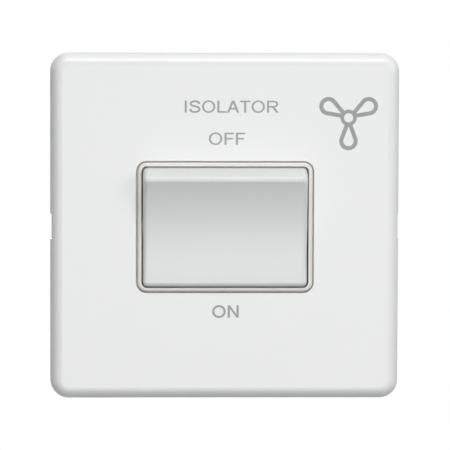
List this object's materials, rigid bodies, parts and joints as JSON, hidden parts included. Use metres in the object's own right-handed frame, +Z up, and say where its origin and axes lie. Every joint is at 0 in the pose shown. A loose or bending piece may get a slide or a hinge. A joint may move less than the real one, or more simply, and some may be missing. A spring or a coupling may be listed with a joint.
{
  "type": "fan isolator switch",
  "caption": "Square clip-on wall plate with rolled edges and a wide rocker in a thin collar; rocking contacts and pillar terminals in a housing behind isolate a fan.",
  "frame": {"origin": "midway between the two fixing screws, on the wall plane", "axes": "+X to the right seen from the front, +Y into the wall, +Z up"},
  "size_m": [0.086, 0.0338, 0.0852],
  "materials": {
    "plate_plastic": "smooth white",
    "frame_plastic": "satin pale grey",
    "cover_plastic": "smooth warm white",
    "base_plastic": "satin grey",
    "rocker_plastic": "smooth white",
    "plunger_plastic": "satin dark grey",
    "spring_steel": "drawn wire",
    "contact_copper": "rolled copper alloy",
    "contact_silver": "silver alloy",
    "terminal_brass": "extruded brass",
    "screw_steel": "zinc plated"
  },
  "bodies": {
    "housing": {"front_plate": "plate_plastic", "mounting_frame": "frame_plastic", "switch_cover": "cover_plastic", "switch_base": "base_plastic", "terminal_screws": "screw_steel", "module_screws": "screw_steel", "fixed_contact_left": "contact_copper", "fixed_contact_tip_left": "contact_silver", "fulcrum_strip_left": "contact_copper", "load_terminal_left": "terminal_brass", "line_terminal_left": "terminal_brass", "fixed_contact_centre": "contact_copper", "fixed_contact_tip_centre": "contact_silver", "fulcrum_strip_centre": "contact_copper", "load_terminal_centre": "terminal_brass", "line_terminal_centre": "terminal_brass", "fixed_contact_right": "contact_copper", "fixed_contact_tip_right": "contact_silver", "fulcrum_strip_right": "contact_copper", "load_terminal_right": "terminal_brass", "line_terminal_right": "terminal_brass"},
    "rocker": {"rocker": "rocker_plastic", "plunger_spring_left": "spring_steel", "plunger_spring_centre": "spring_steel", "plunger_spring_right": "spring_steel"},
    "contact_left": {"moving_contact_left": "contact_copper", "moving_contact_tip_left": "contact_silver"},
    "plunger_left": {"plunger_left": "plunger_plastic"},
    "contact_centre": {"moving_contact_centre": "contact_copper", "moving_contact_tip_centre": "contact_silver"},
    "plunger_centre": {"plunger_centre": "plunger_plastic"},
    "contact_right": {"moving_contact_right": "contact_copper", "moving_contact_tip_right": "contact_silver"},
    "plunger_right": {"plunger_right": "plunger_plastic"}
  },
  "joints": [
    {"name": "rocker_tilt", "type": "hinge", "parent": "housing", "child": "rocker", "pos_m": [0, -0.001, 0], "axis": [1, 0, 0], "range_deg": [-16, 0]},
    {"name": "contact_left_rock", "type": "hinge", "parent": "housing", "child": "contact_left", "pos_m": [-0.0135, 0.00905, 0], "axis": [1, 0, 0], "range_deg": [0, 20]},
    {"name": "plunger_left_slide", "type": "slide", "parent": "rocker", "child": "plunger_left", "axis": [0, -0.9903, -0.1392], "range_m": [0, 0.0006], "stiffness_N_per_m": 500, "springref_m": -0.002, "deforming": ["plunger_spring_left"]},
    {"name": "contact_centre_rock", "type": "hinge", "parent": "housing", "child": "contact_centre", "pos_m": [0, 0.00905, 0], "axis": [1, 0, 0], "range_deg": [0, 20]},
    {"name": "plunger_centre_slide", "type": "slide", "parent": "rocker", "child": "plunger_centre", "axis": [0, -0.9903, -0.1392], "range_m": [0, 0.0006], "stiffness_N_per_m": 500, "springref_m": -0.002, "deforming": ["plunger_spring_centre"]},
    {"name": "contact_right_rock", "type": "hinge", "parent": "housing", "child": "contact_right", "pos_m": [0.0135, 0.00905, 0], "axis": [1, 0, 0], "range_deg": [0, 20]},
    {"name": "plunger_right_slide", "type": "slide", "parent": "rocker", "child": "plunger_right", "axis": [0, -0.9903, -0.1392], "range_m": [0, 0.0006], "stiffness_N_per_m": 500, "springref_m": -0.002, "deforming": ["plunger_spring_right"]}
  ],
  "couplings": [
    {"joint": "contact_left_rock", "follows": "rocker_tilt", "ratio": -1.25},
    {"joint": "contact_centre_rock", "follows": "rocker_tilt", "ratio": -1.25},
    {"joint": "contact_right_rock", "follows": "rocker_tilt", "ratio": -1.25}
  ]
}
